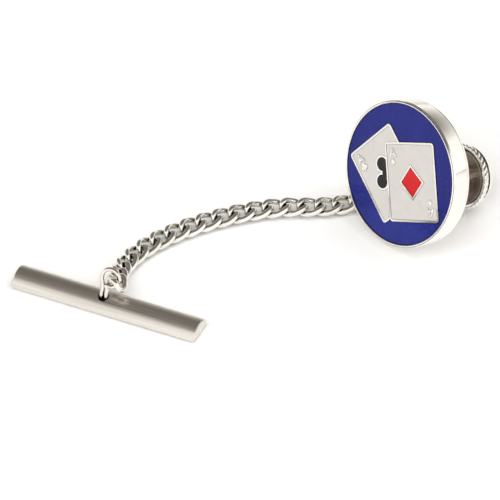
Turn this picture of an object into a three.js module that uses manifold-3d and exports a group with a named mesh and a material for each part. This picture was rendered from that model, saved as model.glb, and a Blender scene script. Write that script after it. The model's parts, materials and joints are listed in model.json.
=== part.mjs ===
// Tie tack: a round enamelled head on a sharp post, a ball clutch that slips over the post,
// and a curb chain from the clutch's collar to a half-round bar for a buttonhole.
// Millimetres, +Z up. Everything lies on the plane z = 0, and the origin is the middle of its footprint.
import * as THREE from 'three';
import { mergeVertices } from 'three/addons/utils/BufferGeometryUtils.js';
import { ParametricGeometry } from 'three/addons/geometries/ParametricGeometry.js';
import Module from 'manifold-3d';

const wasm = await Module();
wasm.setup();

// Head: a struck cup, 5/8 inch across
const HEAD_RADIUS = 8.0;
const RIM_INNER_RADIUS = 7.68; // edge of the enamel
const RIM_CREST_RADIUS = 7.85; // where the rim starts to round over
const RIM_ROUNDING = 0.3; // down the wall from the front plane
const EDGE_BREAK = 0.06; // width of the flats that break the sharp edges
const HEAD_WALL_DEPTH = 2.2; // front plane to the seam of the back plate
const CUP_HOLLOW_RADIUS = 6.8;
const CUP_FLOOR_DEPTH = 1.3;
const LINE_TOP_DEPTH = 0.06; // the raised lines stand this far below the rim's crest
const CELL_DEPTH = 0.45; // enamel cells, from the top of the lines
const LINE_WIDTH = 0.2; // raised line between two cells
const BACK_PLATE_THICKNESS = 0.6;
const BACK_PLATE_EDGE = [[0.75, 0], [0.35, 0.12], [0.12, 0.32]]; // in from the head's side, up from the back
const HEAD_SEGMENTS = 48;

// Playing cards on the head, in its own plane: the front card stands upright there
const CARD_WIDTH = 6.9;
const CARD_HEIGHT = 8.35;
const CARD_CORNER = 0.35;
const FRONT_CARD = { x: 1.72, y: -0.84, turn: 0 };
const REAR_CARD = { x: -1.84, y: 0.06, turn: THREE.MathUtils.degToRad(30.2) };
const DIAMOND_HALF_WIDTH = 1.65;
const DIAMOND_HALF_HEIGHT = 1.78;
const CLUB_DISCS = [ // x, y, radius
  [0, 1.14, 0.85], [-1.09, -0.41, 0.85], [1.09, -0.41, 0.85], [0, 0.05, 0.7],
];
const CLUB_STEM_TOP = 0.2;
const CLUB_STEM_FOOT = 0.55;
const CLUB_STEM_LENGTH = 1.75;

// Post: parallel to the head's axis and a little below its centre
const POST_DROP = 1.5;
const POST_RADIUS = 0.5;
const POST_TIP = 12.0; // from the head's front plane, like every depth below
const POST_TAPER = 1.1;
const POST_GROOVE = 11.3;
const POST_GROOVE_HALF = 0.14;
const POST_PAD_RADIUS = 1.4;
const POST_PAD_THICKNESS = 0.3;
const POST_FILLET = 0.25; // of solder, where the post stands on its pad

// Clutch, along the post
const CLUTCH_FRONT = 9.6;
const CLUTCH_RADIUS = 3.65; // over the knurled rim
const CLUTCH_PLATE_RADIUS = 3.03;
const CLUTCH_PLATE_THICKNESS = 0.35;
const CLUTCH_BORE = 0.6;
const RIM_BORE_RADIUS = 3.15; // the plate lies in this recess of the knurled rim
const RIM_BACK = 10.2;
const RIM_FLUTES = 36;
const RIM_FLUTE_DEPTH = 0.13;
const NECK_RADIUS = 2.4;
const LIP_RADIUS = 2.65;
const LIP_FRONT = 10.6;
const LIP_BACK = 10.72;
const BARREL_RADIUS = 1.68;
const BARREL_BACK = 11.92;
const CHAMBER_RADIUS = 1.48; // holds the spring and its seat
const CHAMBER_FRONT = 11.2;
const CONE_ANGLE = THREE.MathUtils.degToRad(15);
const BALL_DEPTH = 10.65;
const BALL_RADIUS = 0.4;
const BALL_COUNT = 3;
const FIT = 0.02; // running gap of the balls and of the sleeve that carries them
const CAGE_BORE = 0.58;
const CAGE_RADIUS = 1.0;
const CAGE_FRONT = 10.26;
const CAGE_SHOULDER_RADIUS = 1.32;
const CAGE_SHOULDER_FRONT = 11.02;
const CAGE_SHOULDER_BACK = 11.12;
const CAGE_TAIL_RADIUS = 0.8;
const CAGE_TAIL_BACK = 12.12;
const SEAT_FRONT = 11.78;
const SEAT_BACK = 11.9;
const SEAT_BORE = 0.9;
const SPRING_WIRE = 0.08; // radius of the wire
const SPRING_RADIUS = 1.12;
const SPRING_TURNS = 2.75;
const CAP_FRONT = 10.76;
const CAP_RADIUS = 3.3;
const CAP_BACK = 12.45;
const CAP_WALL = 0.25;
const CAP_STEPS = 6;
const CAP_BOSS_RADIUS = 1.2;
const CAP_BOSS_FRONT = 11.97;

// Swivel collar, a flat ring in the groove behind the knurled rim, with a lug for the chain
const COLLAR_FRONT = 10.28;
const COLLAR_THICKNESS = 0.25;
const COLLAR_BORE = 2.46;
const COLLAR_RADIUS = 3.2;
const LUG_REACH = 4.35; // from the post's axis to the lug's hole
const LUG_RADIUS = 0.75;
const LUG_HOLE_RADIUS = 0.4;

// Chain
const CHAIN_LINKS = 23;
const LINK_WIRE = 0.32; // radius of the wire
const LINK_HALF_LENGTH = 1.34; // to the middle of the wire
const LINK_HALF_WIDTH = 0.84;
const LINK_POWER = 0.75; // below 1 the link's oval is squarer than an ellipse
const LINK_TWIST = THREE.MathUtils.degToRad(-56); // at each end, one way and the other
const LINK_LEAN = THREE.MathUtils.degToRad(-12); // the links lie a little on edge
const FIRST_LINK_LEAN = THREE.MathUtils.degToRad(5);
const LEAN_LINKS = 5; // the lean settles over this many links
const LINK_SLACK = 0.37; // from the middle of a crossing to the middle of either wire
const COLLAR_RING_RADIUS = 0.95;
const COLLAR_RING_WIRE = 0.2;
const COLLAR_RING_SWING = THREE.MathUtils.degToRad(70); // about the lug's hole
const COLLAR_RING_GRIP = THREE.MathUtils.degToRad(88); // where the first link hangs on it, from its far side

// Bar: half round, satin, with a hole for its wire eye in the middle
const BAR_LENGTH = 21.5;
const BAR_HALF_WIDTH = 1.63;
const BAR_HEIGHT = 1.5;
const BAR_END_ROUNDING = 0.25;
const BAR_HOLE_RADIUS = 0.6;
const BAR_HOLE = { x: -0.45, y: -0.3 }; // a little off the middle
const EYE_WIRE = 0.25;
const EYE_LEG_SPACING = 0.27; // half the distance between the legs
const EYE_LOOP_RADIUS = 0.98;
const EYE_LOOP_ASIDE = 0.42; // the loop stands to one side of the legs
const EYE_LOOP_HEIGHT = 2.1; // along the leaning wire, from the bar's crest to the middle of the loop
const EYE_LEAN = THREE.MathUtils.degToRad(25);
const EYE_LOOP_START = THREE.MathUtils.degToRad(190); // round the loop, from its side towards the bar's end
const EYE_LOOP_END = THREE.MathUtils.degToRad(-110);
const EYE_LOOP_STEPS = 8;
const EYE_BEND = 0.3; // straight wire on either side of the bend at the bar's crest
const EYE_FOOT_THICKNESS = 0.3;
const EYE_GRIP = THREE.MathUtils.degToRad(-25); // where the last link hangs in the loop

// Where it lies: the head leans back until the clutch's rim meets the surface
const HEAD_PLACE = new THREE.Vector2(0.6, 0.54);
const HEAD_YAW = THREE.MathUtils.degToRad(-48.66);
const HEAD_ROLL = THREE.MathUtils.degToRad(27.9);
const BAR_PLACE = new THREE.Vector3(-30.22, -11.25, 0);
const BAR_YAW = THREE.MathUtils.degToRad(-24.3);

const GAP = 0.03; // solder, glue or press fit between pieces of one body
const OVERLAP = 0.1; // how far two shapes of one piece reach into each other
const CUT = 1; // how far a cutting shape reaches past what it cuts
const HEAD_TILT = Math.atan2(
  HEAD_RADIUS - POST_DROP * Math.cos(HEAD_ROLL) - CLUTCH_RADIUS, RIM_BACK - HEAD_WALL_DEPTH);
const HEAD_HEIGHT = HEAD_RADIUS * Math.cos(HEAD_TILT) + HEAD_WALL_DEPTH * Math.sin(HEAD_TILT);
const BACK_FACE = HEAD_WALL_DEPTH + GAP + BACK_PLATE_THICKNESS;

// ---- shapes ----

function solidOf(geometry) {
  const plain = geometry.clone();
  plain.deleteAttribute('normal');
  plain.deleteAttribute('uv');
  const merged = mergeVertices(plain, 1e-4);
  return new wasm.Manifold(new wasm.Mesh({
    numProp: 3,
    vertProperties: merged.attributes.position.array,
    triVerts: new Uint32Array(merged.index.array),
  }));
}

function geometryOf(solid) {
  const mesh = solid.getMesh();
  const geometry = new THREE.BufferGeometry();
  geometry.setAttribute('position', new THREE.BufferAttribute(mesh.vertProperties, 3));
  geometry.setIndex(new THREE.BufferAttribute(mesh.triVerts, 1));
  geometry.computeVertexNormals();
  return geometry;
}

// A turned piece about Z, from [radius, height] corners listed clockwise round its half section.
function turned(corners, segments = HEAD_SEGMENTS) {
  const points = corners.map(([radius, height]) => new THREE.Vector2(radius, height));
  return new THREE.LatheGeometry(points, segments).rotateX(Math.PI / 2);
}

// A ring with a rectangular section, or a disc when the bore is 0.
function ring(bore, radius, front, back, segments) {
  if (bore === 0) return turned([[0, front], [radius, front], [radius, back], [0, back]], segments);
  return turned([[bore, front], [radius, front], [radius, back], [bore, back], [bore, front]], segments);
}

function slab(shape, bottom, top, curveSegments = 12) {
  const geometry = new THREE.ExtrudeGeometry(shape, {
    depth: top - bottom, bevelEnabled: false, curveSegments,
  });
  return geometry.translate(0, 0, bottom);
}

// A closed loop of round wire round a curve that repeats after t = 1; sideAt(t) leans out of its plane.
function wireLoop(pointAt, sideAt, wireRadius, steps, sides) {
  const step = 1e-3;
  return new ParametricGeometry((t, turn, target) => {
    const tangent = pointAt(t + step).sub(pointAt(t - step)).normalize();
    const side = sideAt(t).projectOnPlane(tangent).normalize();
    const out = tangent.clone().cross(side);
    const angle = 2 * Math.PI * turn;
    target.copy(pointAt(t));
    target.addScaledVector(out, wireRadius * Math.cos(angle));
    target.addScaledVector(side, wireRadius * Math.sin(angle));
  }, steps, sides);
}

function ringOfWire(radius, wireRadius, steps = 24, sides = 8) {
  return new THREE.TorusGeometry(radius, wireRadius, sides, steps);
}

// ---- head ----

function roundedRectangle(width, height, corner) {
  const x = width / 2 - corner;
  const y = height / 2 - corner;
  const shape = new THREE.Shape();
  shape.absarc(x, y, corner, 0, Math.PI / 2);
  shape.absarc(-x, y, corner, Math.PI / 2, Math.PI);
  shape.absarc(-x, -y, corner, Math.PI, 1.5 * Math.PI);
  shape.absarc(x, -y, corner, 1.5 * Math.PI, 2 * Math.PI);
  return shape;
}

function circle(radius) {
  return new THREE.Shape().absarc(0, 0, radius, 0, 2 * Math.PI);
}

// Each outline is grown by `grow`, and reaches from `bottom` to `top`.
function cardBlock(card, grow, bottom, top) {
  const outline = roundedRectangle(CARD_WIDTH + 2 * grow, CARD_HEIGHT + 2 * grow, CARD_CORNER + grow);
  return solidOf(slab(outline, bottom, top, 4).rotateZ(card.turn).translate(card.x, card.y, 0));
}

function diamondBlock(grow, bottom, top) {
  const slant = Math.hypot(DIAMOND_HALF_WIDTH, DIAMOND_HALF_HEIGHT);
  const x = DIAMOND_HALF_WIDTH + grow * slant / DIAMOND_HALF_HEIGHT;
  const y = DIAMOND_HALF_HEIGHT + grow * slant / DIAMOND_HALF_WIDTH;
  const outline = new THREE.Shape().moveTo(x, 0).lineTo(0, y).lineTo(-x, 0).lineTo(0, -y);
  return solidOf(slab(outline, bottom, top).translate(FRONT_CARD.x, FRONT_CARD.y, 0));
}

function clubBlock(grow, bottom, top) {
  const place = geometry => geometry.rotateZ(REAR_CARD.turn).translate(REAR_CARD.x, REAR_CARD.y, 0);
  const stem = new THREE.Shape();
  stem.moveTo(-CLUB_STEM_TOP - grow, 0);
  stem.lineTo(-CLUB_STEM_FOOT - grow, -CLUB_STEM_LENGTH - grow);
  stem.lineTo(CLUB_STEM_FOOT + grow, -CLUB_STEM_LENGTH - grow);
  stem.lineTo(CLUB_STEM_TOP + grow, 0);
  let club = solidOf(place(slab(stem, bottom, top)));
  for (const [x, y, radius] of CLUB_DISCS) {
    const lobe = slab(circle(radius + grow), bottom, top, 10);
    club = club.add(solidOf(place(lobe.translate(x, y, 0))));
  }
  return club;
}

// Where outlines cut a cell in two, only its larger piece is enamelled, and the rest stays metal.
function largestPiece(solid) {
  return solid.decompose().reduce((best, piece) => (piece.volume() > best.volume() ? piece : best));
}

// The five enamel cells. `inset` is how far each keeps from the middle of the raised lines.
function cells(inset, bottom, top) {
  const [low, high] = [bottom - CUT, top + CUT];
  const ground = circle(RIM_INNER_RADIUS - (inset - LINE_WIDTH / 2));
  const disc = solidOf(slab(ground, bottom, top, HEAD_SEGMENTS / 2));
  const front = cardBlock(FRONT_CARD, -inset, bottom, top);
  const rear = cardBlock(REAR_CARD, -inset, bottom, top);
  const aroundFront = cardBlock(FRONT_CARD, inset, low, high);
  const aroundRear = cardBlock(REAR_CARD, inset, low, high);
  return {
    blue_enamel: disc.subtract(aroundFront).subtract(aroundRear),
    front_card_enamel: front.subtract(diamondBlock(inset, low, high)),
    rear_card_enamel: largestPiece(rear.subtract(aroundFront).subtract(clubBlock(inset, low, high))),
    diamond_enamel: diamondBlock(-inset, bottom, top),
    club_enamel: clubBlock(-inset, bottom, top).subtract(aroundFront),
  };
}

function headShell() {
  let shell = solidOf(turned([
    [0, -CUP_FLOOR_DEPTH], [CUP_HOLLOW_RADIUS, -CUP_FLOOR_DEPTH], [CUP_HOLLOW_RADIUS, -HEAD_WALL_DEPTH],
    [HEAD_RADIUS - EDGE_BREAK, -HEAD_WALL_DEPTH], [HEAD_RADIUS, EDGE_BREAK - HEAD_WALL_DEPTH],
    [HEAD_RADIUS, -RIM_ROUNDING], [(HEAD_RADIUS + RIM_CREST_RADIUS) / 2, -RIM_ROUNDING / 3],
    [RIM_CREST_RADIUS, 0], [RIM_INNER_RADIUS + EDGE_BREAK, 0], [RIM_INNER_RADIUS, -LINE_TOP_DEPTH],
    [0, -LINE_TOP_DEPTH],
  ]));
  for (const cell of Object.values(cells(LINE_WIDTH / 2, -LINE_TOP_DEPTH - CELL_DEPTH, CUT))) {
    shell = shell.subtract(cell);
  }
  return geometryOf(shell);
}

function enamels() {
  const bottom = -LINE_TOP_DEPTH - CELL_DEPTH + GAP;
  return cells(LINE_WIDTH / 2 + GAP, bottom, -LINE_TOP_DEPTH - GAP);
}

function backPlate() {
  const front = -HEAD_WALL_DEPTH - GAP;
  const edge = BACK_PLATE_EDGE.map(([inset, up]) => [HEAD_RADIUS - inset, up - BACK_FACE]);
  return turned([[0, -BACK_FACE], ...edge, [HEAD_RADIUS - EDGE_BREAK, front], [0, front]]);
}

// ---- post and clutch, along +Z from the head's front plane ----

function post() {
  const pad = BACK_FACE + GAP;
  return turned([
    [0, pad], [POST_PAD_RADIUS, pad], [POST_PAD_RADIUS, pad + POST_PAD_THICKNESS - EDGE_BREAK],
    [POST_RADIUS + POST_FILLET, pad + POST_PAD_THICKNESS],
    [POST_RADIUS, pad + POST_PAD_THICKNESS + POST_FILLET],
    [POST_RADIUS, POST_TIP - POST_TAPER], [POST_RADIUS * 0.9, POST_GROOVE - POST_GROOVE_HALF],
    [POST_RADIUS * 0.6, POST_GROOVE], [POST_RADIUS * 0.75, POST_GROOVE + POST_GROOVE_HALF], [0, POST_TIP],
  ], 20);
}

function clutchPlate() {
  const back = CLUTCH_FRONT + CLUTCH_PLATE_THICKNESS;
  return turned([
    [CLUTCH_BORE, CLUTCH_FRONT], [CLUTCH_PLATE_RADIUS - EDGE_BREAK, CLUTCH_FRONT],
    [CLUTCH_PLATE_RADIUS, CLUTCH_FRONT + EDGE_BREAK], [CLUTCH_PLATE_RADIUS, back], [CLUTCH_BORE, back],
    [CLUTCH_BORE, CLUTCH_FRONT],
  ], 36);
}

function coneRadius(depth) {
  const atBall = POST_RADIUS + FIT + BALL_RADIUS + (BALL_RADIUS + FIT) / Math.cos(CONE_ANGLE);
  return atBall + (depth - BALL_DEPTH) * Math.tan(CONE_ANGLE);
}

// The knurled rim, the neck for the collar, the lip that keeps it and the barrel with the cone, in one.
function clutchBody() {
  const outline = new THREE.Shape();
  for (let i = 0; i < 2 * RIM_FLUTES; i++) {
    const radius = i % 2 ? CLUTCH_RADIUS - RIM_FLUTE_DEPTH : CLUTCH_RADIUS;
    const angle = Math.PI * i / RIM_FLUTES;
    outline[i ? 'lineTo' : 'moveTo'](radius * Math.cos(angle), radius * Math.sin(angle));
  }
  const floor = CLUTCH_FRONT + CLUTCH_PLATE_THICKNESS + GAP;
  const rim = solidOf(slab(outline, CLUTCH_FRONT + GAP, RIM_BACK));
  const recess = solidOf(ring(0, RIM_BORE_RADIUS, CLUTCH_FRONT - CUT, floor, 36));
  const barrel = solidOf(turned([
    [0, RIM_BACK - OVERLAP], [NECK_RADIUS, RIM_BACK - OVERLAP], [NECK_RADIUS, LIP_FRONT],
    [LIP_RADIUS, LIP_FRONT],
    [LIP_RADIUS, LIP_BACK], [BARREL_RADIUS, LIP_BACK], [BARREL_RADIUS, BARREL_BACK], [0, BARREL_BACK],
  ], 36));
  const bore = solidOf(turned([
    [0, floor - CUT], [CLUTCH_BORE, floor - CUT], [CLUTCH_BORE, RIM_BACK], [coneRadius(RIM_BACK), RIM_BACK],
    [coneRadius(CHAMBER_FRONT), CHAMBER_FRONT], [CHAMBER_RADIUS, CHAMBER_FRONT],
    [CHAMBER_RADIUS, BARREL_BACK + CUT], [0, BARREL_BACK + CUT],
  ], 36));
  return geometryOf(rim.subtract(recess).add(barrel).subtract(bore));
}

// Corners of a dome's outline from the rim of its mouth, at the cap's front, to its crown.
function domeCorners(radius, crown, steps) {
  const corners = [];
  for (let i = 0; i < steps; i++) {
    const angle = Math.PI / 2 * i / steps;
    corners.push([radius * Math.cos(angle), CAP_FRONT + (crown - CAP_FRONT) * Math.sin(angle)]);
  }
  return [...corners, [0, crown]];
}

function clutchCap() {
  const outer = domeCorners(CAP_RADIUS, CAP_BACK, CAP_STEPS);
  const inner = domeCorners(CAP_RADIUS - CAP_WALL, CAP_BACK - CAP_WALL, CAP_STEPS);
  const mouth = [[0, CAP_FRONT - CUT], [CAP_RADIUS - CAP_WALL, CAP_FRONT - CUT]];
  const outside = solidOf(turned([[0, CAP_FRONT], ...outer], 36));
  const inside = solidOf(turned([...mouth, ...inner], 36));
  const boss = solidOf(ring(0, CAP_BOSS_RADIUS, CAP_BOSS_FRONT, CAP_BACK - CAP_WALL + OVERLAP, 32));
  const socket = solidOf(ring(0, CAGE_TAIL_RADIUS + GAP, CAP_BOSS_FRONT - CUT, CAP_BACK - CAP_WALL, 32));
  return geometryOf(outside.subtract(inside).add(boss).subtract(socket));
}

function ballCage() {
  const body = solidOf(turned([
    [CAGE_BORE, CAGE_FRONT], [CAGE_RADIUS, CAGE_FRONT], [CAGE_RADIUS, CAGE_SHOULDER_FRONT],
    [CAGE_SHOULDER_RADIUS, CAGE_SHOULDER_FRONT], [CAGE_SHOULDER_RADIUS, CAGE_SHOULDER_BACK],
    [CAGE_TAIL_RADIUS, CAGE_SHOULDER_BACK], [CAGE_TAIL_RADIUS, CAGE_TAIL_BACK],
    [CAGE_BORE, CAGE_TAIL_BACK], [CAGE_BORE, CAGE_FRONT],
  ], 32));
  let cage = body;
  for (let i = 0; i < BALL_COUNT; i++) {
    const pocket = new THREE.CylinderGeometry(BALL_RADIUS + FIT, BALL_RADIUS + FIT, 2 * CAGE_RADIUS, 16);
    pocket.rotateZ(Math.PI / 2).translate(CAGE_RADIUS, 0, BALL_DEPTH).rotateZ(ballAngle(i));
    cage = cage.subtract(solidOf(pocket));
  }
  return geometryOf(cage);
}

function ballAngle(i) {
  return 2 * Math.PI * i / BALL_COUNT;
}

function springSeat() {
  return ring(SEAT_BORE, CHAMBER_RADIUS - GAP, SEAT_FRONT, SEAT_BACK, 32);
}

class Helix extends THREE.Curve {
  getPoint(t, target = new THREE.Vector3()) {
    const first = CAGE_SHOULDER_BACK + GAP + SPRING_WIRE;
    const last = SEAT_FRONT - GAP - SPRING_WIRE;
    const angle = 2 * Math.PI * SPRING_TURNS * t;
    return target.set(
      SPRING_RADIUS * Math.cos(angle), SPRING_RADIUS * Math.sin(angle), first + (last - first) * t);
  }
}

function releaseSpring() {
  const section = new THREE.Shape().absarc(0, 0, SPRING_WIRE, 0, 2 * Math.PI);
  return new THREE.ExtrudeGeometry(section, { steps: 33, curveSegments: 3, extrudePath: new Helix() });
}

function swivelCollar() {
  const lug = new THREE.Shape();
  const root = (COLLAR_BORE + COLLAR_RADIUS) / 2;
  lug.moveTo(root, -LUG_RADIUS).lineTo(LUG_REACH, -LUG_RADIUS);
  lug.absarc(LUG_REACH, 0, LUG_RADIUS, -Math.PI / 2, Math.PI / 2);
  lug.lineTo(root, LUG_RADIUS);
  lug.holes.push(new THREE.Path().absarc(LUG_REACH, 0, LUG_HOLE_RADIUS, 0, 2 * Math.PI));
  const back = COLLAR_FRONT + COLLAR_THICKNESS;
  const washer = solidOf(ring(COLLAR_BORE, COLLAR_RADIUS, COLLAR_FRONT, back, 36));
  return geometryOf(washer.add(solidOf(slab(lug, COLLAR_FRONT, back, 8).rotateZ(Math.PI))));
}

// ---- chain ----

// An oval of wire along X, twisted about X so that its two ends lie across each other.
function chainLink() {
  const squared = share => Math.sign(share) * Math.abs(share) ** LINK_POWER;
  const twistAt = t => LINK_TWIST * Math.cos(2 * Math.PI * t);
  const xAxis = new THREE.Vector3(1, 0, 0);
  const pointAt = (t) => {
    const angle = 2 * Math.PI * t;
    const along = LINK_HALF_LENGTH * squared(Math.cos(angle));
    const across = LINK_HALF_WIDTH * squared(Math.sin(angle));
    return new THREE.Vector3(along, across, 0).applyAxisAngle(xAxis, twistAt(t));
  };
  const sideAt = t => new THREE.Vector3(0, 0, 1).applyAxisAngle(xAxis, twistAt(t));
  return wireLoop(pointAt, sideAt, LINK_WIRE, 18, 6);
}

// Between the collar's ring and the bar's eye the chain lies on the surface in a loose bow.
const ROUTE = [
  [-0.4, 6.6, 0.94], [-3.2, 5.1, 0.87], [-5.6, 4.1, 0.87], [-8.4, 3.8, 0.87], [-12.1, 3.75, 0.87],
  [-15.9, 2.9, 0.87], [-19.3, 1.7, 0.87], [-22.7, 0.0, 0.87], [-25.6, -2.0, 0.87], [-27.5, -3.9, 0.9],
  [-28.75, -6.0, 1.1], [-29.25, -8.2, 1.78],
];

// The crossing where an end link, lying towards `next`, hangs on the wire that passes through `wire`.
function hookOn(wire, next) {
  return wire.clone().addScaledVector(wire.clone().sub(next).normalize(), LINK_SLACK);
}

// The middles of the crossings between neighbouring links, evenly spaced along the route.
function chainPivots(firstWire, lastWire) {
  const route = ROUTE.map(point => new THREE.Vector3(...point));
  const points = [hookOn(firstWire, route[0]), ...route, hookOn(lastWire, route.at(-1))];
  return new THREE.CatmullRomCurve3(points).getSpacedPoints(CHAIN_LINKS);
}

// ---- bar ----

// The bar lies along X on its flat side, z = 0, with its eye's hole through the middle.
function tBar() {
  const straight = BAR_LENGTH - 2 * BAR_END_ROUNDING;
  const section = new THREE.Shape();
  section.absellipse(
    0, BAR_END_ROUNDING, BAR_HALF_WIDTH - BAR_END_ROUNDING, BAR_HEIGHT - 2 * BAR_END_ROUNDING, 0, Math.PI);
  const body = new THREE.ExtrudeGeometry(section, {
    depth: straight, curveSegments: 10, bevelThickness: BAR_END_ROUNDING, bevelSize: BAR_END_ROUNDING,
    bevelSegments: 2,
  });
  body.translate(0, 0, -straight / 2).rotateX(Math.PI / 2).rotateZ(Math.PI / 2);
  const hole = new THREE.CylinderGeometry(BAR_HOLE_RADIUS, BAR_HOLE_RADIUS, 3 * BAR_HEIGHT, 20);
  hole.rotateX(Math.PI / 2).translate(BAR_HOLE.x, BAR_HOLE.y, 0);
  return geometryOf(solidOf(body).subtract(solidOf(hole)));
}

// A point of the eye: `aside` along the bar, `up` from its crest along the wire, which leans back there.
function eyePoint(aside, up) {
  const lean = up > 0 ? EYE_LEAN : 0;
  return new THREE.Vector3(
    BAR_HOLE.x + aside, BAR_HOLE.y + up * Math.sin(lean), BAR_HEIGHT + up * Math.cos(lean));
}

function eyeLoopPoint(angle) {
  return eyePoint(
    EYE_LOOP_ASIDE + EYE_LOOP_RADIUS * Math.cos(angle), EYE_LOOP_HEIGHT + EYE_LOOP_RADIUS * Math.sin(angle));
}

// One wire: up from its foot in the hole, once round the loop, and down beside the first leg.
function barEye() {
  const bottom = EYE_FOOT_THICKNESS / 2 - BAR_HEIGHT;
  const points = [];
  for (const up of [bottom, -EYE_BEND, EYE_BEND]) points.push(eyePoint(-EYE_LEG_SPACING, up));
  points.push(eyePoint(-EYE_LEG_SPACING, EYE_LOOP_HEIGHT / 2));
  for (let i = 0; i <= EYE_LOOP_STEPS; i++) {
    points.push(eyeLoopPoint(THREE.MathUtils.lerp(EYE_LOOP_START, EYE_LOOP_END, i / EYE_LOOP_STEPS)));
  }
  points.push(eyePoint(EYE_LEG_SPACING, EYE_LOOP_HEIGHT - EYE_LOOP_RADIUS - EYE_BEND));
  for (const up of [EYE_BEND, -EYE_BEND, bottom]) points.push(eyePoint(EYE_LEG_SPACING, up));
  const path = new THREE.CatmullRomCurve3(points);
  const section = new THREE.Shape().absarc(0, 0, EYE_WIRE, 0, 2 * Math.PI);
  const wire = new THREE.ExtrudeGeometry(section, { steps: 34, curveSegments: 4, extrudePath: path });
  const foot = ring(0, BAR_HOLE_RADIUS - GAP, GAP, EYE_FOOT_THICKNESS, 20);
  foot.translate(BAR_HOLE.x, BAR_HOLE.y, 0);
  return geometryOf(solidOf(wire).add(solidOf(foot)));
}

// ---- assembly ----

const STEEL = { color: 0xc9c7c2, metalness: 1, roughness: 0.18 };
const SATIN = { color: 0xb9b3a8, metalness: 1, roughness: 0.38 };
const BLUE = { color: 0x1f2a86, metalness: 0, roughness: 0.12 };
const PEARL = { color: 0xdad6d0, metalness: 0, roughness: 0.2 };
const RED = { color: 0xdc262a, metalness: 0, roughness: 0.15 };
const BLACK = { color: 0x17181c, metalness: 0, roughness: 0.15 };

function mesh(name, shape, finish) {
  const made = new THREE.Mesh(shape, new THREE.MeshStandardMaterial(finish));
  made.name = name;
  return made;
}

function head() {
  const group = new THREE.Group();
  group.add(mesh('head_shell', headShell(), STEEL));
  group.add(mesh('back_plate', backPlate(), STEEL));
  const colours = {
    blue_enamel: BLUE, front_card_enamel: PEARL, rear_card_enamel: PEARL, diamond_enamel: RED,
    club_enamel: BLACK,
  };
  for (const [name, solid] of Object.entries(enamels())) {
    group.add(mesh(name, geometryOf(solid), colours[name]));
  }
  return group;
}

// A point of the ring in the collar's lug, `radius` from its middle; an angle of 0 is its far side.
function collarRingPoint(angle, radius) {
  const fromLug = COLLAR_RING_RADIUS + radius * Math.cos(angle);
  const depth = COLLAR_FRONT + COLLAR_THICKNESS / 2 - radius * Math.sin(angle);
  const point = new THREE.Vector3(-fromLug, 0, depth);
  point.applyAxisAngle(new THREE.Vector3(0, 0, 1), COLLAR_RING_SWING);
  return point.setX(point.x - LUG_REACH);
}

function clutch() {
  const group = new THREE.Group();
  group.add(mesh('post', post(), STEEL));
  group.add(mesh('clutch_plate', clutchPlate(), STEEL));
  group.add(mesh('clutch_body', clutchBody(), STEEL));
  group.add(mesh('swivel_collar', swivelCollar(), STEEL));
  group.add(mesh('clutch_cap', clutchCap(), STEEL));
  group.add(mesh('ball_cage', ballCage(), STEEL));
  group.add(mesh('spring_seat', springSeat(), STEEL));
  group.add(mesh('release_spring', releaseSpring(), STEEL));
  for (let i = 0; i < BALL_COUNT; i++) {
    const ball = mesh(`ball_${i + 1}`, new THREE.SphereGeometry(BALL_RADIUS, 12, 8), STEEL);
    const out = POST_RADIUS + FIT + BALL_RADIUS;
    ball.position.set(out * Math.cos(ballAngle(i)), out * Math.sin(ballAngle(i)), BALL_DEPTH);
    group.add(ball);
  }
  const collarRing = mesh('collar_ring', ringOfWire(COLLAR_RING_RADIUS, COLLAR_RING_WIRE, 20, 6), STEEL);
  collarRing.rotation.set(Math.PI / 2, 0, COLLAR_RING_SWING, 'ZYX');
  collarRing.position.copy(collarRingPoint(0, 0)); // its middle
  group.add(collarRing);
  group.rotation.x = Math.PI; // from here on +Z points backwards, away from the head's face
  group.position.y = -POST_DROP;
  return group;
}

function chain(firstWire, lastWire) {
  const group = new THREE.Group();
  const pivots = chainPivots(firstWire, lastWire);
  const shape = chainLink();
  const up = new THREE.Vector3(0, 0, 1);
  for (let i = 0; i < CHAIN_LINKS; i++) {
    const link = mesh(`chain_link_${String(i + 1).padStart(2, '0')}`, shape, STEEL);
    const along = pivots[i + 1].clone().sub(pivots[i]).normalize();
    const across = up.clone().cross(along).normalize();
    const share = Math.min(1, i / LEAN_LINKS);
    across.applyAxisAngle(along, THREE.MathUtils.lerp(FIRST_LINK_LEAN, LINK_LEAN, share));
    link.quaternion.setFromRotationMatrix(
      new THREE.Matrix4().makeBasis(along, across, along.clone().cross(across)));
    link.position.addVectors(pivots[i], pivots[i + 1]).multiplyScalar(0.5);
    group.add(link);
  }
  return group;
}

function bar() {
  const group = new THREE.Group();
  group.add(mesh('t_bar', tBar(), SATIN));
  group.add(mesh('bar_eye', barEye(), STEEL));
  group.rotation.z = BAR_YAW;
  group.position.copy(BAR_PLACE);
  return group;
}

function pin(clutchOnPost) {
  const roll = new THREE.Group();
  roll.add(head(), clutchOnPost);
  roll.rotation.z = HEAD_ROLL;
  const tilt = new THREE.Group();
  tilt.add(roll);
  tilt.rotation.x = Math.PI / 2 - HEAD_TILT;
  const group = new THREE.Group();
  group.add(tilt);
  group.rotation.z = HEAD_YAW;
  group.position.set(HEAD_PLACE.x, HEAD_PLACE.y, HEAD_HEIGHT);
  return group;
}

function tieTack() {
  const whole = new THREE.Group();
  const clutchOnPost = clutch();
  const barWithEye = bar();
  whole.add(pin(clutchOnPost), barWithEye);
  whole.updateMatrixWorld(true);
  const firstWire = clutchOnPost.localToWorld(collarRingPoint(COLLAR_RING_GRIP, COLLAR_RING_RADIUS));
  const lastWire = barWithEye.localToWorld(eyeLoopPoint(EYE_GRIP));
  whole.add(chain(firstWire, lastWire));
  return whole;
}

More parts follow.
